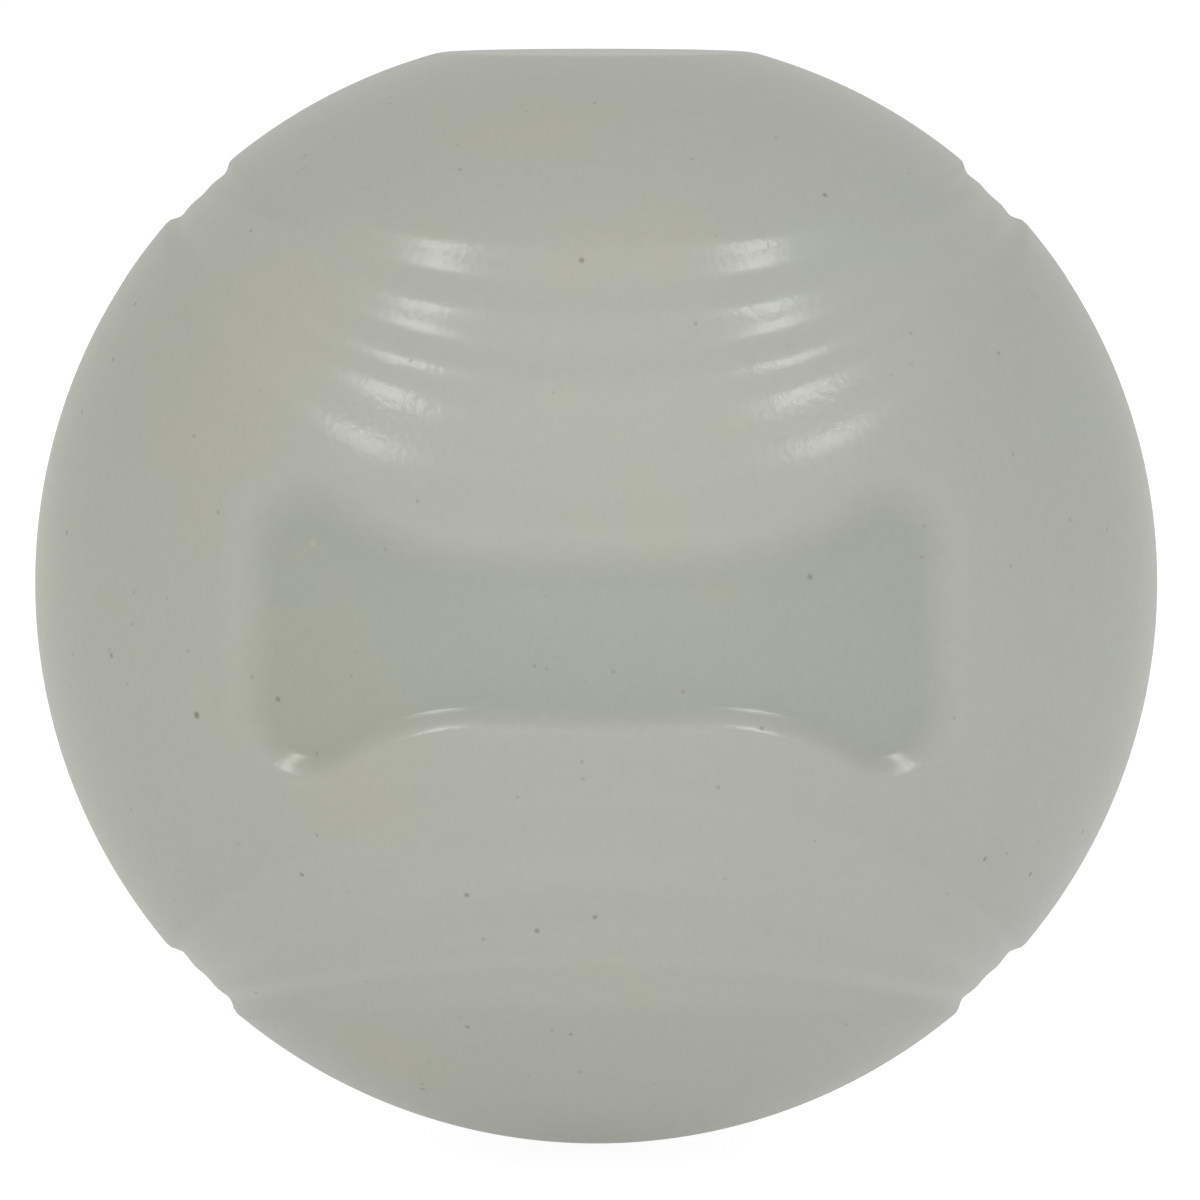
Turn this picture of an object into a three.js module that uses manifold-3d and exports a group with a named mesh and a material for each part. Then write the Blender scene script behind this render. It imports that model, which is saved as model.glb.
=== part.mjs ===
// Hollow rubber fetch ball: two like half shells bonded together round a seam.
// Millimetres, +Z up. The seam lies in the plane y = 0 and the front half faces -Y.

import * as THREE from "three";
import { LoftGeometry } from "three/addons/geometries/LoftGeometry.js";
import { mergeVertices } from "three/addons/utils/BufferGeometryUtils.js";
import Module from "manifold-3d";

const wasm = await Module();
wasm.setup();

const { degToRad, lerp, smoothstep } = THREE.MathUtils;

// Ball
const BALL_RADIUS = 32.5;
const WALL = 7.5;
const BOND_THICKNESS = 0.3; // cured cement between the two bonding faces
const PRESS_START = 14; // above this height the top is pressed flatter than the ball
const PRESS_DROP = 0.57; // how far its crown is pressed down
const FLAT_CUT = 1.75; // depth of the flat trimmed off the top

// Grooved band: it passes above and below the panel of each half
const BAND_ELEVATION = degToRad(28.5); // middle groove over the front pole
const GROOVE_COUNT = 3;
const FRONT_PITCH = 4.1;
const SEAM_PITCH = 1.8;
const FRONT_DEPTH = 0.65;
const SEAM_DEPTH = 0.4;
const FRONT_RIDGE_DROP = 0.25; // ridge crests below the ball's surface
const SEAM_RIDGE_DROP = 0.34;

// Recessed panel: a level cartouche drawn in at its waist
const PANEL_LENGTH = 38;
const PANEL_WAIST = 8.4;
const PANEL_WAIST_LENGTH = 12;
const PANEL_FLARE_RADIUS = 14;
const PANEL_CORNER_RADIUS = 3;
const PANEL_DEPTH = 1.1;
const PANEL_WALL_RUN = 1.1; // how far the sloping wall runs in from the lip

// Fineness of the faces
const ROUND_STEPS = 60;
const ARC_STEPS = 20;
const CAVITY_STEPS = 32;
const BAND_STEPS = 34;
const PITCH_STEPS = 6;
const OUTLINE_STEPS = 5; // to each arc
const LID_RINGS = 3;

// Cutters stand this far clear of the surface that they cut
const CUT_CLEAR = 2;
const SHOULDER_CLEAR = 0.1;
const FLOOR_CLEAR = 0.5;
const MERGE_DISTANCE = 1e-4;

const CAVITY_RADIUS = BALL_RADIUS - WALL;
const BOND_FACE = BOND_THICKNESS / 2;

// Solids and meshes

function toSolid(source) {
  const bare = new THREE.BufferGeometry();
  bare.setAttribute("position", source.getAttribute("position"));
  bare.setIndex(source.getIndex());
  const merged = mergeVertices(bare, MERGE_DISTANCE);
  const corners = merged.index.array;
  const kept = [];
  for (let i = 0; i < corners.length; i += 3) {
    const [a, b, c] = [corners[i], corners[i + 1], corners[i + 2]];
    if (a !== b && b !== c && c !== a) kept.push(a, b, c);
  }
  return new wasm.Manifold(
    new wasm.Mesh({
      numProp: 3,
      vertProperties: new Float32Array(merged.attributes.position.array),
      triVerts: new Uint32Array(kept),
    }),
  );
}

function toGeometry(solid) {
  const { vertProperties, triVerts } = solid.getMesh();
  const geometry = new THREE.BufferGeometry();
  geometry.setAttribute("position", new THREE.BufferAttribute(vertProperties, 3));
  geometry.setIndex(new THREE.BufferAttribute(triVerts, 1));
  geometry.computeVertexNormals();
  return geometry;
}

// Grooved band: a wavy section lofted along the closed curve of a tennis ball's seam.
// Each half carries two stretches of that curve, which cross the bonded seam at 45 degrees
// to the panel, so a half turned a quarter turn takes the band on without a break.

const bandLong = (1 + Math.sin(BAND_ELEVATION)) / 2;
const bandShort = (1 - Math.sin(BAND_ELEVATION)) / 2;
const bandFront = Math.cos(BAND_ELEVATION);
const seamTurn = Math.PI / 4;
const bandEnd = seamTurn + degToRad(8);

function bandDirection(turn) {
  return new THREE.Vector3(
    bandLong * Math.sin(turn) + bandShort * Math.sin(3 * turn),
    -bandFront * Math.cos(2 * turn),
    bandLong * Math.cos(turn) - bandShort * Math.cos(3 * turn),
  );
}

function bandTangent(turn) {
  return new THREE.Vector3(
    bandLong * Math.cos(turn) + 3 * bandShort * Math.cos(3 * turn),
    2 * bandFront * Math.sin(2 * turn),
    -bandLong * Math.sin(turn) + 3 * bandShort * Math.sin(3 * turn),
  ).normalize();
}

const outerGroove = (GROOVE_COUNT - 1) / 2; // in pitches from the middle of the band
const bandEdge = outerGroove + 0.5;

// The grooves draw together and grow shallower from the front of the ball to the seam
function bandSize(front, seam, turn) {
  return lerp(front, seam, smoothstep(Math.abs(turn), 0, seamTurn));
}

// Depth below the ball's surface, at a place counted in pitches across the band
function grooveDepth(turn, place) {
  const deepest = bandSize(FRONT_DEPTH, SEAM_DEPTH, turn);
  const ridge = bandSize(FRONT_RIDGE_DROP, SEAM_RIDGE_DROP, turn);
  const out = Math.abs(place);
  const wave = (1 + Math.cos(2 * Math.PI * (out - outerGroove))) / 2;
  return lerp(out > outerGroove ? 0 : ridge, deepest, wave);
}

// Positive places lie towards the panel
function bandPoint(turn, place, height) {
  const offset = (place * bandSize(FRONT_PITCH, SEAM_PITCH, turn)) / BALL_RADIUS;
  const along = bandDirection(turn);
  const across = bandTangent(turn).cross(along);
  return along
    .multiplyScalar(Math.cos(offset))
    .addScaledVector(across, Math.sin(offset))
    .multiplyScalar(BALL_RADIUS + height);
}

function bandSection(turn) {
  const steps = bandEdge * PITCH_STEPS;
  const points = [bandPoint(turn, bandEdge, SHOULDER_CLEAR)];
  for (let step = steps - 1; step > -steps; step--) {
    const place = step / PITCH_STEPS;
    points.push(bandPoint(turn, place, -grooveDepth(turn, place)));
  }
  points.push(bandPoint(turn, -bandEdge, SHOULDER_CLEAR));
  points.push(bandPoint(turn, -bandEdge, CUT_CLEAR));
  points.push(bandPoint(turn, bandEdge, CUT_CLEAR));
  return points;
}

function bandCutter(turnRoundPole) {
  const sections = [];
  for (let step = 0; step <= BAND_STEPS; step++) {
    sections.push(bandSection(lerp(-bandEnd, bandEnd, step / BAND_STEPS)));
  }
  const loft = new LoftGeometry(sections, { capStart: true, capEnd: true });
  return toSolid(loft.rotateY(turnRoundPole));
}

// Recessed panel: rounded ends that flare out of a straight waist, with a floor
// that follows the ball

function panelOutline(inset) {
  const waistX = PANEL_WAIST_LENGTH / 2;
  const cornerX = PANEL_LENGTH / 2 - PANEL_CORNER_RADIUS;
  const flareZ = PANEL_WAIST / 2 + PANEL_FLARE_RADIUS;
  const centres = PANEL_FLARE_RADIUS + PANEL_CORNER_RADIUS;
  const drop = Math.sqrt(centres ** 2 - (cornerX - waistX) ** 2);
  const cornerZ = flareZ - drop;
  const sweep = Math.atan2(drop, waistX - cornerX);
  const corner = PANEL_CORNER_RADIUS - inset;
  const flare = PANEL_FLARE_RADIUS + inset;
  const arc = (x, z, radius, from, to, clockwise) =>
    new THREE.EllipseCurve(x, z, radius, radius, from, to, clockwise).getPoints(OUTLINE_STEPS);
  const down = -Math.PI / 2;
  const halfOutline = (sign, turn) => [
    ...arc(sign * cornerX, -sign * cornerZ, corner, turn - sweep, turn, false),
    ...arc(sign * cornerX, sign * cornerZ, corner, turn, turn + sweep, false).slice(0, -1),
    ...arc(sign * waistX, sign * flareZ, flare, turn + sweep - Math.PI, turn + down, true),
    ...arc(-sign * waistX, sign * flareZ, flare, turn + down, turn - sweep, true).slice(0, -1),
  ];
  return [...halfOutline(1, 0), ...halfOutline(-1, Math.PI)];
}

// The outline seen from the front, drawn in to a share of its size and laid on a sphere
function panelRing(inset, share, radius) {
  return panelOutline(inset).map((point) => {
    const x = point.x * share;
    const z = point.y * share;
    return new THREE.Vector3(x, -Math.sqrt(radius ** 2 - x ** 2 - z ** 2), z);
  });
}

function panelCutter() {
  const slope = PANEL_WALL_RUN / PANEL_DEPTH;
  const floorRadius = BALL_RADIUS - PANEL_DEPTH;
  const ring = (share, height) => panelRing(-slope * height, share, BALL_RADIUS + height);
  const sections = [ring(1, -PANEL_DEPTH - FLOOR_CLEAR)];
  for (let step = LID_RINGS; step >= 0; step--) {
    sections.push(ring(step / LID_RINGS, CUT_CLEAR));
  }
  const plug = toSolid(new LoftGeometry(sections, { capStart: true }));
  const floor = new THREE.SphereGeometry(floorRadius, ROUND_STEPS, 2 * ARC_STEPS);
  return plug.subtract(toSolid(floor));
}

// Top of the bonded ball, pressed a little flatter than the rest, with a flat trimmed across it

function pressedTop(solid) {
  const geometry = toGeometry(solid);
  const points = geometry.getAttribute("position");
  for (let i = 0; i < points.count; i++) {
    const height = points.getZ(i);
    const reach = Math.max(height - PRESS_START, 0) / (BALL_RADIUS - PRESS_START);
    points.setZ(i, height - PRESS_DROP * reach ** 2);
  }
  return toSolid(geometry);
}

function flatCutter() {
  const block = new THREE.BoxGeometry(2 * BALL_RADIUS, 2 * BALL_RADIUS, BALL_RADIUS);
  block.translate(0, 0, 1.5 * BALL_RADIUS - FLAT_CUT);
  return toSolid(block);
}

// Half shell, front half as moulded

function halfBall() {
  const rim = Math.asin(BOND_FACE / BALL_RADIUS);
  const profile = [];
  for (let step = 0; step <= ARC_STEPS; step++) {
    const angle = lerp(-Math.PI / 2, -rim, step / ARC_STEPS);
    profile.push(new THREE.Vector2(BALL_RADIUS * Math.cos(angle), BALL_RADIUS * Math.sin(angle)));
  }
  profile[0].x = 0;
  profile.push(new THREE.Vector2(0, -BOND_FACE));
  return toSolid(new THREE.LatheGeometry(profile, ROUND_STEPS));
}

function mouldedHalf(bands) {
  const cavity = new THREE.SphereGeometry(CAVITY_RADIUS, CAVITY_STEPS, CAVITY_STEPS / 2);
  return halfBall()
    .subtract(toSolid(cavity))
    .subtract(bands[0])
    .subtract(bands[1])
    .subtract(panelCutter());
}

// The rear half is the same moulding, turned over and a quarter turn round: x and z change places

function turnedHalf(half) {
  const quarterTurn = new THREE.Matrix4().makeBasis(
    new THREE.Vector3(0, 0, 1),
    new THREE.Vector3(0, -1, 0),
    new THREE.Vector3(1, 0, 0),
  );
  return toSolid(toGeometry(half).applyMatrix4(quarterTurn));
}

// Cement ring between the bonding faces, flush with the bands where they cross the seam

function bondRing(bands) {
  const profile = [
    new THREE.Vector2(CAVITY_RADIUS, -BOND_FACE),
    new THREE.Vector2(BALL_RADIUS, -BOND_FACE),
    new THREE.Vector2(BALL_RADIUS, BOND_FACE),
    new THREE.Vector2(CAVITY_RADIUS, BOND_FACE),
    new THREE.Vector2(CAVITY_RADIUS, -BOND_FACE),
  ];
  const ring = toSolid(new THREE.LatheGeometry(profile, ROUND_STEPS));
  return ring.subtract(bands[0]).subtract(bands[1]);
}

// Assembly

const shellRubber = { color: 0xacaea4, roughness: 0.45, metalness: 0 };
const bondRubber = { color: 0x9c9d90, roughness: 0.55, metalness: 0 };

const bands = [bandCutter(0), bandCutter(Math.PI)];
const flat = flatCutter();
const half = mouldedHalf(bands);

const pieces = [
  ["front_half_shell", half, shellRubber],
  ["rear_half_shell", turnedHalf(half), shellRubber],
  ["seam_bond_ring", bondRing(bands), bondRubber],
];

const ball = new THREE.Group();
for (const [name, solid, finish] of pieces) {
  const geometry = toGeometry(pressedTop(solid).subtract(flat));
  const mesh = new THREE.Mesh(geometry, new THREE.MeshStandardMaterial(finish));
  mesh.name = name;
  ball.add(mesh);
}

export default ball;
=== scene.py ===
# Looks of the hollow rubber fetch ball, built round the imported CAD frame.

import math

import bpy
import numpy as np
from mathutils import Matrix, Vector


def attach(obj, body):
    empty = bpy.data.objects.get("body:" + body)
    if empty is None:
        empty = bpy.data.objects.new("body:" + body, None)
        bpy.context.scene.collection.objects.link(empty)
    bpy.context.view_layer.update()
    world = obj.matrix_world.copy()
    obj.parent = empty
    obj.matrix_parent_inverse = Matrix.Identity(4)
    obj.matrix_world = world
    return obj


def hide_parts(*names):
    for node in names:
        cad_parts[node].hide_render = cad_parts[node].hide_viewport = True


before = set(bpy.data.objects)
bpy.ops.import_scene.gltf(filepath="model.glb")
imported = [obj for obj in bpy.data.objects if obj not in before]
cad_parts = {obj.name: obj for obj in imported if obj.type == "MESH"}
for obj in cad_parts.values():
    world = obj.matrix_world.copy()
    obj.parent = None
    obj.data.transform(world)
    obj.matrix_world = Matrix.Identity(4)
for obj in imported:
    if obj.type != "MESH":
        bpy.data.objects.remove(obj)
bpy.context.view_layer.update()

MM = 0.001
WHITE = (1, 1, 1, 1)

# Sizes of the ball in millimetres, as in the CAD source
BALL_RADIUS = 32.5
WALL = 7.5
BOND_THICKNESS = 0.3
PRESS_START = 14.0  # above this height the top is pressed flatter than the ball
PRESS_DROP = 0.57  # how far its crown is pressed down
FLAT_CUT = 1.75  # depth of the flat trimmed off the top

BAND_ELEVATION = math.radians(28.5)  # middle groove over the front pole
GROOVE_COUNT = 3
FRONT_PITCH = 4.1
SEAM_PITCH = 1.8
FRONT_DEPTH = 0.65
SEAM_DEPTH = 0.4
FRONT_RIDGE_DROP = 0.25  # ridge crests below the ball's surface
SEAM_RIDGE_DROP = 0.34

PANEL_LENGTH = 38.0
PANEL_WAIST = 8.4
PANEL_WAIST_LENGTH = 12.0
PANEL_FLARE_RADIUS = 14.0
PANEL_CORNER_RADIUS = 3.0
PANEL_DEPTH = 1.1

CAVITY_RADIUS = BALL_RADIUS - WALL
FLAT_HEIGHT = BALL_RADIUS - FLAT_CUT
BOND_FACE = BOND_THICKNESS / 2

# Fine forms that the CAD leaves to the looks, in millimetres
FLAT_EDGE = 0.12  # rounding where the flat meets the ball
FRONT_SHOULDERS = (0.7, 1.2)  # pitches from an outer valley to the ball's surface, the panel's side last
SEAM_SHOULDER = 0.5  # and at the seam, where both sides are alike
PANEL_LIPS = (-0.7, -2.0)  # insets from the outline where the lip starts, at the bottom and the top
PANEL_FEET = (0.75, 1.5)  # and where the wall's foot ends
SEAM_DROP = 0.05  # shallow parting line along the bonded edges
SEAM_REACH = 0.3
CEMENT_DROP = 0.06  # cement shows just below the edges of the rubber
CEMENT_HOLLOW = 0.03  # and lies a little deeper along its middle
CRISP_ANGLE = math.radians(50)  # edges that turn more than this aren't shaded smooth

# Skin of the half shells
GLOSS_DEPTH = 0.1  # the skin is fully glossy where the relief is this deep
GROOVE_POLISH = (1.0, 0.7, 0.1)  # how smooth the skin is in each groove, the panel's side last

# Fineness of the meshes
SIDE_STEPS = 82  # round each end of the panel
TOP_STEPS = 190  # along its top, and along its bottom
ARC_STEPS = 60  # to each arc of its outline
WALL_RINGS = 22
WALL_START = 1.6  # the wall's rings lie between these insets from the panel's outline
WALL_END = -2.1
BODY_RINGS = 115
BODY_SHARE = 0.7  # typical way from panel to seam, as a share of a quarter turn
SEAM_RINGS = 4
CLOSE_SHARE = 0.6  # part of the parting line's reach that the close rings at the seam cover
CHAMBER_STEPS = 68
CHAMBER_RINGS = 14
CURVE_SAMPLES = 801
CURVE_MARGIN = 0.15  # the band's curve is sampled this turn past the seam
SMALL_TURN = 1e-4
LEAST_BEND = 1e-12

RING_STEPS = 2 * (SIDE_STEPS + TOP_STEPS)
CHAMBER_STRIDE = RING_STEPS // CHAMBER_STEPS  # outer points to each point of the chamber's edge

# Camera: the photograph's view, with the ball's centre a little above the middle of the frame
CAMERA_DISTANCE = 12 * BALL_RADIUS
CAMERA_ELEVATION = math.radians(5.8)
LENS = 201.3
SENSOR = 36.0
PICTURE_SIDE = 1200
SHIFT_X = 3.8 / PICTURE_SIDE
SHIFT_Y = -17.6 / PICTURE_SIDE
CLIP_START = 0.01
CLIP_END = 200


def make_camera():
    data = bpy.data.cameras.new("camera")
    data.sensor_width = SENSOR
    data.lens = LENS
    data.shift_x = SHIFT_X
    data.shift_y = SHIFT_Y
    data.clip_start = CLIP_START
    data.clip_end = CLIP_END
    camera = bpy.data.objects.new("camera", data)
    back = Vector((0, -math.cos(CAMERA_ELEVATION), math.sin(CAMERA_ELEVATION)))
    camera.location = back * CAMERA_DISTANCE * MM
    camera.rotation_mode = "QUATERNION"
    camera.rotation_quaternion = (-back).to_track_quat("-Z", "Y")
    bpy.context.scene.collection.objects.link(camera)
    bpy.context.scene.camera = camera


make_camera()


# Grooved band: three grooves along the closed curve of a tennis ball's seam

SEAM_TURN = math.pi / 4
OUTER_GROOVE = (GROOVE_COUNT - 1) / 2  # in pitches from the middle of the band
BAND_EDGE = OUTER_GROOVE + 0.5


def smoothstep(value):
    value = np.clip(value, 0, 1)
    return value * value * (3 - 2 * value)


def band_curve(turn):
    long = (1 + math.sin(BAND_ELEVATION)) / 2
    short = (1 - math.sin(BAND_ELEVATION)) / 2
    front = math.cos(BAND_ELEVATION)
    points = [
        long * np.sin(turn) + short * np.sin(3 * turn),
        -front * np.cos(2 * turn),
        long * np.cos(turn) - short * np.cos(3 * turn),
    ]
    return np.stack(points, axis=-1)


def band_size(front, seam, turn):
    """A size of the band that changes smoothly from the front to the seam."""
    return front + (seam - front) * smoothstep(np.abs(turn) / SEAM_TURN)


def nearest_on_band(directions):
    """The turn of the nearest point of the band's middle, and the angle from there towards the panel."""
    reach = SEAM_TURN + CURVE_MARGIN
    turns = np.linspace(-reach, reach, CURVE_SAMPLES)
    nearness = directions @ band_curve(turns).T
    best = np.clip(nearness.argmax(axis=1), 1, CURVE_SAMPLES - 2)
    rows = np.arange(len(directions))
    # A parabola through the best sample and its neighbours peaks a part of a step away
    before, at, after = (nearness[rows, best + step] for step in (-1, 0, 1))
    bend = np.minimum(before - 2 * at + after, -LEAST_BEND)
    part = np.clip((before - after) / (2 * bend), -1, 1)
    turn = turns[best] + part * (turns[1] - turns[0])
    middle = band_curve(turn)
    heading = band_curve(turn + SMALL_TURN) - band_curve(turn - SMALL_TURN)
    heading /= np.linalg.norm(heading, axis=1, keepdims=True)
    across = np.cross(heading, middle)
    return turn, np.arcsin(np.clip((directions * across).sum(axis=1), -1, 1))


def band_place(directions):
    """How far along a band, and how many pitches across it towards the panel, each direction lies.

    The lower stretch is the upper one turned by half a turn.
    """
    upper = directions.copy()
    upper[directions[:, 2] < 0] *= (-1, 1, -1)
    turn, angle = nearest_on_band(upper)
    return turn, angle * BALL_RADIUS / band_size(FRONT_PITCH, SEAM_PITCH, turn)


def band_depth(turn, place):
    """Depth of the grooves below the ball's surface, with a rolled shoulder at each side."""
    out = np.abs(place) - OUTER_GROOVE
    deepest = band_size(FRONT_DEPTH, SEAM_DEPTH, turn)
    ridge = band_size(FRONT_RIDGE_DROP, SEAM_RIDGE_DROP, turn)
    wave = (1 + np.cos(2 * np.pi * out)) / 2
    roll = band_size(np.where(place < 0, *FRONT_SHOULDERS), SEAM_SHOULDER, turn)
    shoulder = (1 + np.cos(np.pi * np.clip(out / roll, 0, 1))) / 2
    return np.where(out > 0, deepest * shoulder, ridge + (deepest - ridge) * wave)


def band_gloss(turn, depth):
    """How glossy the skin is: most in the grooves in front, as on the rest of the ball at the seam."""
    return np.clip(depth / GLOSS_DEPTH, 0, 1) * band_size(1.0, 0.0, turn)


def band_polish(place):
    """How smooth the skin is: polished in the valleys, stippled on the ridges and outside the band."""
    valley = np.maximum(np.cos(2 * np.pi * place), 0) * (np.abs(place) < BAND_EDGE)
    grooves = np.linspace(-OUTER_GROOVE, OUTER_GROOVE, GROOVE_COUNT)
    return valley * np.interp(place, grooves, GROOVE_POLISH)


# Panel: rings that follow its outline, so that its lip and foot run along the mesh


def arc(x, z, radius, start, end):
    angles = np.linspace(start, end, ARC_STEPS)
    return np.stack([x + radius * np.cos(angles), z + radius * np.sin(angles)], axis=1)


def even_steps(path, steps):
    """The path again, with its points spaced evenly. The last point is left to the next side."""
    lengths = np.linalg.norm(np.diff(path, axis=0), axis=1)
    along = np.concatenate([[0], np.cumsum(lengths)])
    wanted = np.linspace(0, along[-1], steps + 1)[:-1]
    return np.stack([np.interp(wanted, along, path[:, k]) for k in (0, 1)], axis=1)


def panel_outline(inset):
    """The panel's outline seen from the front, drawn in by the inset.

    It runs round the right end, along the top, round the left end and along the bottom.
    """
    waist_x = PANEL_WAIST_LENGTH / 2
    corner_x = PANEL_LENGTH / 2 - PANEL_CORNER_RADIUS
    flare_z = PANEL_WAIST / 2 + PANEL_FLARE_RADIUS
    centres = PANEL_FLARE_RADIUS + PANEL_CORNER_RADIUS
    drop = math.sqrt(centres**2 - (corner_x - waist_x) ** 2)
    corner_z = flare_z - drop
    sweep = math.atan2(drop, waist_x - corner_x)
    corner = PANEL_CORNER_RADIUS - inset
    flare = PANEL_FLARE_RADIUS + inset
    right_end = [
        arc(corner_x, -corner_z, corner, -sweep / 2, 0),
        arc(corner_x, corner_z, corner, 0, sweep / 2),
    ]
    top = [
        arc(corner_x, corner_z, corner, sweep / 2, sweep),
        arc(waist_x, flare_z, flare, sweep - math.pi, -math.pi / 2),
        arc(-waist_x, flare_z, flare, -math.pi / 2, -sweep),
        arc(-corner_x, corner_z, corner, math.pi - sweep, math.pi - sweep / 2),
    ]
    sides = [
        even_steps(np.concatenate(right_end), SIDE_STEPS),
        even_steps(np.concatenate(top), TOP_STEPS),
    ]
    half = np.concatenate(sides)
    return np.concatenate([half, -half])


def on_ball(flat_points):
    """Directions from the ball's centre to points drawn on its front."""
    x, z = flat_points[..., 0], flat_points[..., 1]
    y = -np.sqrt(BALL_RADIUS**2 - x**2 - z**2)
    return np.stack([x, y, z], axis=-1) / BALL_RADIUS


def panel_floor(ring):
    """Rows of points that fill the ring: a patch blended between its four sides."""
    closed = np.concatenate([ring, ring[:1]])
    ends = np.cumsum([0, SIDE_STEPS, TOP_STEPS, SIDE_STEPS, TOP_STEPS])
    right, top, left, bottom = (closed[start : end + 1] for start, end in zip(ends, ends[1:]))
    top, left = top[::-1], left[::-1]
    u = np.linspace(0, 1, TOP_STEPS + 1)[None, :, None]
    v = np.linspace(0, 1, SIDE_STEPS + 1)[:, None, None]
    level = (1 - u) * left[:, None] + u * right[:, None]
    upright = (1 - v) * bottom[None] + v * top[None]
    low = (1 - u) * bottom[0] + u * bottom[-1]
    high = (1 - u) * top[0] + u * top[-1]
    return level + upright - ((1 - v) * low + v * high)


def floor_edge():
    """Numbers of the floor patch's points as a grid, and of its border points in the order of a ring."""
    wide = TOP_STEPS + 1
    grid = np.arange((SIDE_STEPS + 1) * wide).reshape(SIDE_STEPS + 1, wide)
    sides = [grid[:-1, -1], grid[-1, :0:-1], grid[:0:-1, 0], grid[0, :-1]]
    return grid, np.concatenate(sides)


def panel_depth(inset):
    """Depth of the panel's wall round a ring: steep along the bottom and gentle along the top."""
    outline = panel_outline(0)
    step = np.roll(outline, -1, axis=0) - np.roll(outline, 1, axis=0)
    upward = (1 - step[:, 0] / np.linalg.norm(step, axis=1)) / 2
    lip = np.interp(upward, (0, 1), PANEL_LIPS)
    foot = np.interp(upward, (0, 1), PANEL_FEET)
    return PANEL_DEPTH * smoothstep((inset - lip) / (foot - lip))


# Half shell: panel floor, wall rings, body rings out to the seam, bonding face and air chamber


def rim_directions(ring):
    """Where the rings end at the seam, spaced as the panel's outline is."""
    steps = np.linalg.norm(np.roll(ring, -1, axis=0) - ring, axis=1)
    along = np.concatenate([[0], np.cumsum(steps)])
    middle = SIDE_STEPS / 2
    start = np.interp(middle, np.arange(len(along)), along)
    angle = (along[:-1] - start) / along[-1] * 2 * math.pi
    rise = BOND_FACE / BALL_RADIUS
    level = math.sqrt(1 - rise**2)
    return np.stack([level * np.cos(angle), np.full_like(angle, -rise), level * np.sin(angle)], axis=1)


def body_shares():
    """How far along from panel to seam each body ring lies, with close rings at the seam."""
    way = math.pi / 2 * BALL_RADIUS * BODY_SHARE
    last = 1 - SEAM_REACH * CLOSE_SHARE / way
    far = np.linspace(0, last, BODY_RINGS + 1)[1:]
    near = np.linspace(last, 1, SEAM_RINGS + 1)[1:]
    return np.concatenate([far, near])


def outer_surface():
    """Directions of a half's outer surface, and the depth of the panel there."""
    insets = np.linspace(WALL_START, WALL_END, WALL_RINGS + 1)
    floor = on_ball(panel_floor(panel_outline(insets[0]))).reshape(-1, 3)
    directions = [floor]
    panel = [np.full(len(floor), PANEL_DEPTH)]
    for inset in insets[1:]:
        directions.append(on_ball(panel_outline(inset)))
        panel.append(panel_depth(inset))
    start = directions[-1]
    rim = rim_directions(panel_outline(WALL_END))
    between = np.arccos((start * rim).sum(axis=1))[:, None]
    for share in body_shares():
        near = np.sin((1 - share) * between) * start
        far = np.sin(share * between) * rim
        directions.append((near + far) / np.sin(between))
        panel.append(np.zeros(RING_STEPS))
    return np.concatenate(directions), np.concatenate(panel)


def seam_drop(directions):
    """How far the edge rolls off at the seam."""
    from_seam = np.arcsin(np.abs(directions[:, 1])) * BALL_RADIUS - BOND_FACE
    return SEAM_DROP * (1 - smoothstep(from_seam / SEAM_REACH))


def pressed(points):
    """The points with the top a little flatter than the ball."""
    reach = np.maximum(points[:, 2] - PRESS_START, 0) / (BALL_RADIUS - PRESS_START)
    return points - np.outer(PRESS_DROP * reach**2, (0, 0, 1))


def trimmed(shape):
    """The shape with its top pressed and the flat taken off, the flat's edge slightly rounded."""
    points = pressed(shape)
    height = points[:, 2]
    gap = np.abs(height - FLAT_HEIGHT)
    rounding = np.maximum(FLAT_EDGE - gap, 0) ** 2 / (4 * FLAT_EDGE)
    lowered = np.minimum(height, FLAT_HEIGHT) - rounding
    near_top = height > FLAT_HEIGHT - FLAT_EDGE
    scale = np.where(near_top, lowered / np.where(near_top, height, 1), 1)
    return points * scale[:, None]


def quads_between(ring, following):
    """Faces between two rings of points."""
    ahead = np.roll(ring, -1), np.roll(following, -1)
    return np.stack([ring, following, ahead[1], ahead[0]], axis=1).tolist()


def half_faces(ring_count):
    """Faces of a half shell: floor grid, rings, bonding face and chamber."""
    grid, edge = floor_edge()
    corners = [grid[:-1, :-1], grid[:-1, 1:], grid[1:, 1:], grid[1:, :-1]]
    faces = np.stack([corner.ravel() for corner in corners], axis=1).tolist()
    ring = edge
    following = np.arange(RING_STEPS) + grid.size
    for _ in range(ring_count):
        faces += quads_between(ring, following)
        ring = following
        following = following + RING_STEPS
    inner = np.arange(CHAMBER_STEPS) + ring[-1] + 1
    for step in range(CHAMBER_STEPS):
        first = step * CHAMBER_STRIDE
        outside = [ring[(first + k) % RING_STEPS] for k in range(CHAMBER_STRIDE + 1)]
        faces.append([inner[(step + 1) % CHAMBER_STEPS], inner[step], *outside])
    for _ in range(CHAMBER_RINGS - 1):
        faces += quads_between(inner, inner + CHAMBER_STEPS)
        inner = inner + CHAMBER_STEPS
    pole = inner[-1] + 1
    faces += [[inner[k], pole, inner[(k + 1) % CHAMBER_STEPS]] for k in range(CHAMBER_STEPS)]
    return faces


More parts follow.
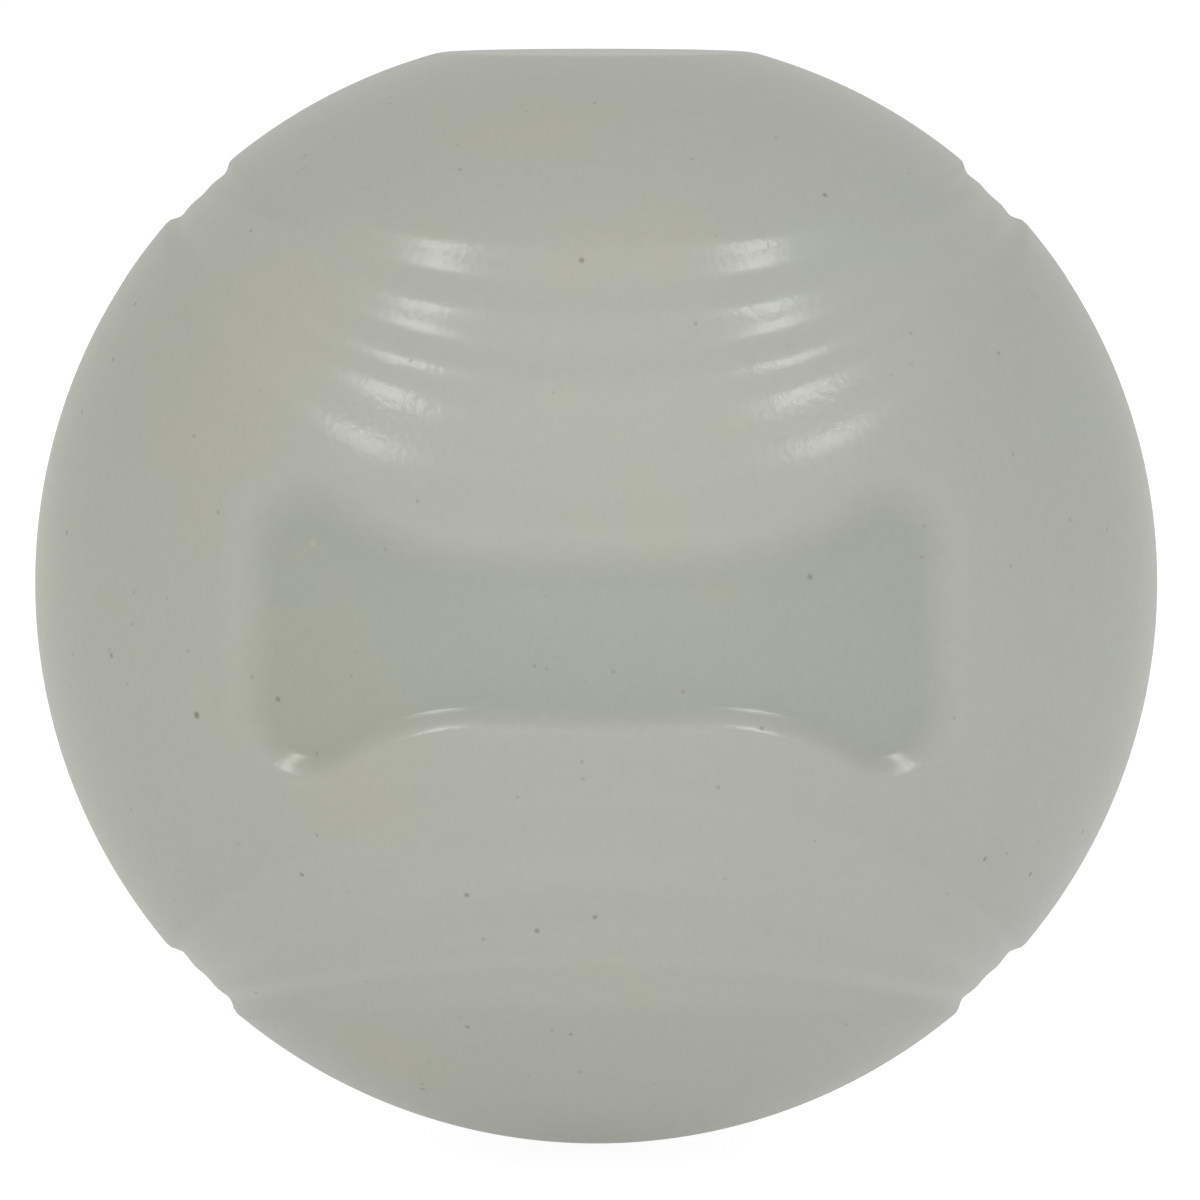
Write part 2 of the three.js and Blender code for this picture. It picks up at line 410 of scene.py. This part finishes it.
def chamber_points(rim):
    """The air chamber's wall, from the bonding face in to its pole."""
    angle = np.arctan2(rim[::CHAMBER_STRIDE, 2], rim[::CHAMBER_STRIDE, 0])
    rows = []
    for step in range(CHAMBER_RINGS):
        tilt = math.pi / 2 * step / CHAMBER_RINGS
        level = CAVITY_RADIUS * math.cos(tilt)
        y = np.full(CHAMBER_STEPS, -max(BOND_FACE, CAVITY_RADIUS * math.sin(tilt)))
        rows.append(np.stack([level * np.cos(angle), y, level * np.sin(angle)], axis=1))
    rows.append(np.array([[0, -CAVITY_RADIUS, 0]]))
    return np.concatenate(rows)


def new_piece(name, points, faces, node):
    """A smooth mesh that stands for a CAD node, with crisp edges where its faces meet steeply."""
    mesh = bpy.data.meshes.new(name)
    mesh.from_pydata((points * MM).tolist(), [], faces)
    mesh.polygons.foreach_set("use_smooth", [True] * len(mesh.polygons))
    mesh.update()
    mesh.set_sharp_from_angle(angle=CRISP_ANGLE)
    piece = bpy.data.objects.new(name, mesh)
    bpy.context.scene.collection.objects.link(piece)
    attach(piece, "root")
    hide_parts(node)
    return piece


def mark(piece, name, values):
    """Keep a number for each of a piece's first points, for its material. The other points keep 0."""
    attribute = piece.data.attributes.new(name, "FLOAT", "POINT")
    everywhere = np.zeros(len(piece.data.vertices), np.float32)
    everywhere[: len(values)] = values
    attribute.data.foreach_set("value", everywhere)


def make_halves(material):
    """The front half, and the same moulding turned over and a quarter turn round as the rear half."""
    directions, panel = outer_surface()
    turn, place = band_place(directions)
    bands = band_depth(turn, place)
    outside = directions * (BALL_RADIUS - bands - panel - seam_drop(directions))[:, None]
    outside[-RING_STEPS:, 1] = -BOND_FACE
    inside = chamber_points(directions[-RING_STEPS:])
    front = np.concatenate([outside, inside])
    rear = front[:, [2, 1, 0]] * (1, -1, 1)
    faces = half_faces(WALL_RINGS + BODY_RINGS + SEAM_RINGS)
    panel_gloss = np.clip(panel / GLOSS_DEPTH, 0, 1)
    for name, shape in (("front", front), ("rear", rear)):
        points = trimmed(shape)
        piece = new_piece(f"{name}_rubber_half", points, faces, f"{name}_half_shell")
        mark(piece, "hollow", bands)
        mark(piece, "polish", band_polish(place))
        mark(piece, "gloss", np.maximum(band_gloss(turn, bands), panel_gloss))
        mark(piece, "recess", panel / PANEL_DEPTH)
        piece.data.materials.append(material)


def make_bond(material):
    """The line of cement between the halves: a thin ring with a slightly sunken outer face."""
    angle = np.linspace(0, 2 * math.pi, RING_STEPS, endpoint=False)
    around = np.stack([np.cos(angle), np.zeros_like(angle), np.sin(angle)], axis=1)
    edge = BALL_RADIUS - band_depth(*band_place(around)) - CEMENT_DROP
    chamber = np.full_like(angle, CAVITY_RADIUS)
    section = [
        (edge, -BOND_FACE),
        (edge - CEMENT_HOLLOW, 0),
        (edge, BOND_FACE),
        (chamber, BOND_FACE),
        (chamber, -BOND_FACE),
    ]
    points = np.concatenate([around * radius[:, None] + (0, y, 0) for radius, y in section])
    faces = []
    for row in range(len(section)):
        ring = np.arange(RING_STEPS) + row * RING_STEPS
        following = np.arange(RING_STEPS) + (row + 1) % len(section) * RING_STEPS
        faces += quads_between(ring, following)
    piece = new_piece("seam_cement_ring", trimmed(points), faces, "seam_bond_ring")
    piece.data.materials.append(material)


# Materials

MILKINESS = 0.5  # how far the scattered light in the rubber hides the relief
RELIEF_EDGE = 0.02  # full from this depth on, in mm for the grooves, as a share for the panel
BODY_GLOSS = 0.5  # weight of the glossy skin outside the grooves and the panel, where it is 1
SKIN_ROUGHNESS = 0.245
SKIN_IOR = 1.5
STIPPLE_DEPTH = 0.028
STIPPLE_LEFT = 0.1  # share of the stipple that is left where the skin is smooth
SMOOTH_RECESS = (0.05, 0.5)  # shares of the panel's depth between which the skin turns smooth

# Places on a noise's scale and the colours there
CLOUD_TINTS = [
    (0.3, (0.416, 0.426, 0.394)),
    (0.5, (0.420, 0.430, 0.384)),
    (0.72, (0.424, 0.432, 0.352)),
]
GRAIN_TINTS = [(0.25, (0.955, 0.955, 0.95)), (0.75, (1.0, 1.0, 1.0))]
CEMENT_TINTS = [(0.3, (0.33, 0.335, 0.28)), (0.7, (0.39, 0.395, 0.34))]
YELLOW_LEAN = 0.12  # how far the left side leans to the yellow end of the clouds, and the right away
# Painted shade for the panel's recess, full on its floor, a little greener than the body
PAINTED_RECESS_SHADE = (0.84, 0.855, 0.82, 1)

# Specks: spacing in mm, share of the places that hold one, radius in mm, strength and colour
SPECKS = [
    (1.8, 0.50, 0.16, 0.30, (0.16, 0.16, 0.12, 1)),
    (3.2, 0.50, 0.20, 0.50, (0.13, 0.125, 0.10, 1)),
    (7.0, 0.50, 0.28, 0.65, (0.12, 0.115, 0.10, 1)),
    (5.0, 0.40, 0.28, 0.60, (0.50, 0.43, 0.33, 1)),
]
SPECK_CORE = 0.5  # part of a speck's radius that has its full strength
CHOICE_EDGE = 0.98  # part of the share of places where the speck is there in full

# Sockets of a mix node by number, because its vector and colour sockets share their names
MIX_FACTOR = 0
VECTOR_SOCKETS = (4, 5)
VECTOR_RESULT = 1
COLOUR_SOCKETS = (6, 7)
COLOUR_RESULT = 2


class Nodes:
    """Short ways to add and join the nodes of one material."""

    def __init__(self, name):
        self.material = bpy.data.materials.new(name)
        self.material.use_nodes = True
        self.tree = self.material.node_tree
        self.shader = self.tree.nodes["Principled BSDF"]

    def add(self, kind, **inputs):
        node = self.tree.nodes.new(kind)
        for name, value in inputs.items():
            self.set(node, name.replace("_", " "), value)
        return node

    def set(self, node, socket, value):
        if isinstance(value, bpy.types.NodeSocket):
            self.tree.links.new(value, node.inputs[socket])
        else:
            node.inputs[socket].default_value = value

    def place(self):
        return self.add("ShaderNodeTexCoord").outputs["Object"]

    def attribute(self, name):
        node = self.tree.nodes.new("ShaderNodeAttribute")
        node.attribute_name = name
        return node.outputs["Fac"]

    def towards_ball(self, share):
        """The surface's own normal, drawn by a share towards that of a plain ball."""
        outward = self.add("ShaderNodeVectorTransform", Vector=self.place())
        outward.vector_type = "NORMAL"
        outward.convert_from = "OBJECT"
        outward.convert_to = "WORLD"
        node = self.tree.nodes.new("ShaderNodeMix")
        node.data_type = "VECTOR"
        own, plain = VECTOR_SOCKETS
        self.set(node, MIX_FACTOR, share)
        self.set(node, own, self.add("ShaderNodeNewGeometry").outputs["Normal"])
        self.set(node, plain, outward.outputs["Vector"])
        return node.outputs[VECTOR_RESULT]

    def noise(self, size_mm, detail=2.0, roughness=0.5):
        node = self.add("ShaderNodeTexNoise", Vector=self.place(), Detail=detail, Roughness=roughness)
        node.inputs["Scale"].default_value = 1 / (size_mm * MM)
        return node.outputs["Fac"]

    def ramp(self, factor, stops):
        node = self.add("ShaderNodeValToRGB", Fac=factor)
        elements = node.color_ramp.elements
        while len(elements) < len(stops):
            elements.new(0.5)
        for element, (position, colour) in zip(elements, stops):
            element.position = position
            element.color = (*colour, 1)
        return node.outputs["Color"]

    def range(self, value, low, high, to_low, to_high):
        node = self.add("ShaderNodeMapRange", Value=value, From_Min=low, From_Max=high)
        self.set(node, "To Min", to_low)
        self.set(node, "To Max", to_high)
        return node.outputs["Result"]

    def math(self, operation, first, second):
        node = self.tree.nodes.new("ShaderNodeMath")
        node.operation = operation
        self.set(node, 0, first)
        self.set(node, 1, second)
        return node.outputs["Value"]

    def mix(self, blend, factor, first, second):
        node = self.tree.nodes.new("ShaderNodeMix")
        node.data_type = "RGBA"
        node.blend_type = blend
        self.set(node, MIX_FACTOR, factor)
        for socket, colour in zip(COLOUR_SOCKETS, (first, second)):
            self.set(node, socket, colour)
        return node.outputs[COLOUR_RESULT]

    def bump(self, height, distance_mm, strength, normal=None):
        node = self.add("ShaderNodeBump", Height=height, Strength=strength, Distance=distance_mm * MM)
        if normal is not None:
            self.set(node, "Normal", normal)
        return node.outputs["Normal"]


def rubber_tint_and_recess_shade(nodes, recess):
    """Pale grey-green with a fine grain, yellower in patches and on the left.

    The panel's recess is darkened by painted shade that deepens with its depth, and is a little greener.
    """
    across = nodes.add("ShaderNodeSeparateXYZ", Vector=nodes.place()).outputs["X"]
    edge = BALL_RADIUS * MM
    leftness = nodes.range(across, -edge, edge, YELLOW_LEAN, -YELLOW_LEAN)
    clouds = nodes.math("ADD", nodes.noise(size_mm=13, detail=3, roughness=0.55), leftness)
    grain = nodes.noise(size_mm=0.5, detail=3, roughness=0.6)
    colour = nodes.mix("MULTIPLY", 1.0, nodes.ramp(clouds, CLOUD_TINTS), nodes.ramp(grain, GRAIN_TINTS))
    # Painted shade: the recess darkens, a little greener, as far as it is deep
    return nodes.mix("MULTIPLY", recess, colour, PAINTED_RECESS_SHADE)


def specks(nodes, spacing_mm, share, radius_mm):
    """Where scattered specks lie: a share of the cells of a Voronoi pattern hold one each."""
    cells = nodes.add("ShaderNodeTexVoronoi", Vector=nodes.place(), Scale=1 / (spacing_mm * MM))
    lot = nodes.add("ShaderNodeSeparateColor", Color=cells.outputs["Color"]).outputs["Red"]
    chosen = nodes.range(lot, 1 - share, 1 - share * CHOICE_EDGE, 0, 1)
    reach = radius_mm / spacing_mm
    speck = nodes.range(cells.outputs["Distance"], reach, reach * SPECK_CORE, 0, 1)
    return nodes.math("MULTIPLY", chosen, speck)


def speckled(nodes, colour):
    """The colour with fine grey specks, larger dark ones and a few cream ones."""
    for spacing, share, radius, strength, tint in SPECKS:
        found = nodes.math("MULTIPLY", specks(nodes, spacing, share, radius), strength)
        colour = nodes.mix("MIX", found, colour, tint)
    return colour


def skin_normal(nodes, recess):
    """The skin is stippled and faintly wavy, and smooth in the grooves and the panel."""
    in_panel = nodes.range(recess, *SMOOTH_RECESS, 0, 1)
    smooth = nodes.math("MAXIMUM", nodes.attribute("polish"), in_panel)
    amount = nodes.range(smooth, 0, 1, 1.0, STIPPLE_LEFT)
    stipple = nodes.bump(nodes.noise(size_mm=0.45), STIPPLE_DEPTH, amount)
    return nodes.bump(nodes.noise(size_mm=1.6), distance_mm=0.012, strength=0.4, normal=stipple)


def shell_rubber():
    """Waxy rubber: a milky body that half hides its relief, under a skin that shows it in its sheen."""
    nodes = Nodes("shell_rubber")
    recess = nodes.attribute("recess")
    in_groove = nodes.range(nodes.attribute("hollow"), 0, RELIEF_EDGE, 0, 1)
    in_panel = nodes.range(recess, 0, RELIEF_EDGE, 0, 1)
    milky = nodes.math("MULTIPLY", nodes.math("MAXIMUM", in_groove, in_panel), MILKINESS)
    gloss = nodes.range(nodes.attribute("gloss"), 0, 1, BODY_GLOSS, 1)
    looks = {
        "Base Color": speckled(nodes, rubber_tint_and_recess_shade(nodes, recess)),
        "Normal": nodes.towards_ball(milky),
        "Specular IOR Level": 0.0,
        "Coat Weight": gloss,
        "Coat Normal": skin_normal(nodes, recess),
        "Coat Roughness": SKIN_ROUGHNESS,
        "Coat IOR": SKIN_IOR,
    }
    for socket, value in looks.items():
        nodes.set(nodes.shader, socket, value)
    return nodes.material


def bond_rubber():
    """Cured cement: matt, a little patchy and grainy."""
    nodes = Nodes("bond_rubber")
    patches = nodes.noise(size_mm=1.5, detail=4, roughness=0.6)
    looks = {
        "Base Color": nodes.ramp(patches, CEMENT_TINTS),
        "Roughness": nodes.range(nodes.noise(size_mm=0.8), 0.3, 0.7, to_low=0.5, to_high=0.65),
        "Normal": nodes.bump(nodes.noise(size_mm=0.3, detail=3), distance_mm=0.02, strength=0.6),
    }
    for socket, value in looks.items():
        nodes.set(nodes.shader, socket, value)
    return nodes.material


# Stage: lit white floor, soft all-round light, low broad lights in front and behind, lamps left and right

WORLD_LIGHT = 0.53

SIDE_AZIMUTH = 52  # degrees round from the front
SIDE_ELEVATION = 39
SIDE_DISTANCE = 0.6
SIDE_SIZE = (0.11, 0.2)
SIDE_POWER = 0.52

LOW_ELEVATION = 4
LOW_DISTANCE = 0.9
FRONT_AZIMUTH = 2
FRONT_SIZE = (1.0, 0.16)
FRONT_POWER = 2.0
BACK_AZIMUTH = 180
BACK_SIZE = (0.12, 0.16)
BACK_POWER = 2.6

FLOOR_LEVEL = -BALL_RADIUS * MM
FLOOR_SIDE = 200.0
FLOOR_PAPER = (0.96, 0.96, 0.96, 1)
FLOOR_ROUGHNESS = 0.9
FLOOR_GLOW = 0.75  # share of the floor's look that is plain white where it is seen directly
FLOOR_WHITE = 1.2
FLOOR_LIGHT = 0.115  # the floor is lit from below, and lights the ball's underside


def seen_directly(tree):
    """1 for rays that show the stage itself: from the camera, in gloss or through a clear surface."""
    path = tree.nodes.new("ShaderNodeLightPath")
    total = path.outputs["Is Camera Ray"]
    for name in ("Is Glossy Ray", "Is Transmission Ray"):
        node = tree.nodes.new("ShaderNodeMath")
        node.operation = "MAXIMUM"
        tree.links.new(total, node.inputs[0])
        tree.links.new(path.outputs[name], node.inputs[1])
        total = node.outputs["Value"]
    return total


def make_world():
    """White all round to the eye, and a softer white as a light."""
    world = bpy.data.worlds.new("studio")
    world.use_nodes = True
    tree = world.node_tree
    light = tree.nodes["Background"]
    light.inputs["Strength"].default_value = WORLD_LIGHT
    light.inputs["Color"].default_value = WHITE
    white = tree.nodes.new("ShaderNodeBackground")
    white.inputs["Color"].default_value = WHITE
    mix = tree.nodes.new("ShaderNodeMixShader")
    tree.links.new(seen_directly(tree), mix.inputs["Fac"])
    tree.links.new(light.outputs["Background"], mix.inputs[1])
    tree.links.new(white.outputs["Background"], mix.inputs[2])
    tree.links.new(mix.outputs["Shader"], tree.nodes["World Output"].inputs["Surface"])
    bpy.context.scene.world = world


def make_lamp(name, azimuth, elevation, distance, size, power):
    """A lamp, with its width and height, that faces the ball from that side and height, in degrees."""
    side = math.radians(azimuth)
    height = math.radians(elevation)
    level = math.cos(height)
    towards = Vector((math.sin(side) * level, -math.cos(side) * level, math.sin(height)))
    data = bpy.data.lights.new(name, "AREA")
    data.shape = "RECTANGLE"
    data.size, data.size_y = size
    data.energy = power
    lamp = bpy.data.objects.new(name, data)
    lamp.location = towards * distance
    lamp.rotation_mode = "QUATERNION"
    lamp.rotation_quaternion = (-towards).to_track_quat("-Z", "Y")
    lamp.visible_camera = False
    bpy.context.scene.collection.objects.link(lamp)
    return lamp


def make_lamps():
    """The side lamps make the streaks in the grooves. The broad lights don't show in the gloss."""
    for name, azimuth in (("left_lamp", -SIDE_AZIMUTH), ("right_lamp", SIDE_AZIMUTH)):
        make_lamp(name, azimuth, SIDE_ELEVATION, SIDE_DISTANCE, SIDE_SIZE, SIDE_POWER)
    broad = [
        ("front_light", FRONT_AZIMUTH, FRONT_SIZE, FRONT_POWER),
        ("back_light", BACK_AZIMUTH, BACK_SIZE, BACK_POWER),
    ]
    for name, azimuth, size, power in broad:
        lamp = make_lamp(name, azimuth, LOW_ELEVATION, LOW_DISTANCE, size, power)
        lamp.visible_glossy = False


def floor_white():
    """Paper that looks all but plain white, takes a faint shadow and gives some light."""
    material = bpy.data.materials.new("floor_white")
    material.use_nodes = True
    tree = material.node_tree
    paper = tree.nodes["Principled BSDF"]
    paper.inputs["Base Color"].default_value = FLOOR_PAPER
    paper.inputs["Roughness"].default_value = FLOOR_ROUGHNESS
    paper.inputs["Specular IOR Level"].default_value = 0.0
    paper.inputs["Emission Color"].default_value = WHITE
    paper.inputs["Emission Strength"].default_value = FLOOR_LIGHT
    glow = tree.nodes.new("ShaderNodeEmission")
    glow.inputs["Strength"].default_value = FLOOR_WHITE
    share = tree.nodes.new("ShaderNodeMath")
    share.operation = "MULTIPLY"
    share.inputs[1].default_value = FLOOR_GLOW
    tree.links.new(seen_directly(tree), share.inputs[0])
    mix = tree.nodes.new("ShaderNodeMixShader")
    tree.links.new(share.outputs["Value"], mix.inputs["Fac"])
    tree.links.new(paper.outputs["BSDF"], mix.inputs[1])
    tree.links.new(glow.outputs["Emission"], mix.inputs[2])
    tree.links.new(mix.outputs["Shader"], tree.nodes["Material Output"].inputs["Surface"])
    return material


def make_floor():
    side = FLOOR_SIDE / 2
    corners = [(-side, -side), (side, -side), (side, side), (-side, side)]
    mesh = bpy.data.meshes.new("floor")
    mesh.from_pydata([(x, y, FLOOR_LEVEL) for x, y in corners], [], [(0, 1, 2, 3)])
    mesh.materials.append(floor_white())
    floor = bpy.data.objects.new("floor", mesh)
    bpy.context.scene.collection.objects.link(floor)


make_halves(shell_rubber())
make_bond(bond_rubber())
make_world()
make_lamps()
make_floor()

bpy.context.scene.view_settings.view_transform = "Standard"
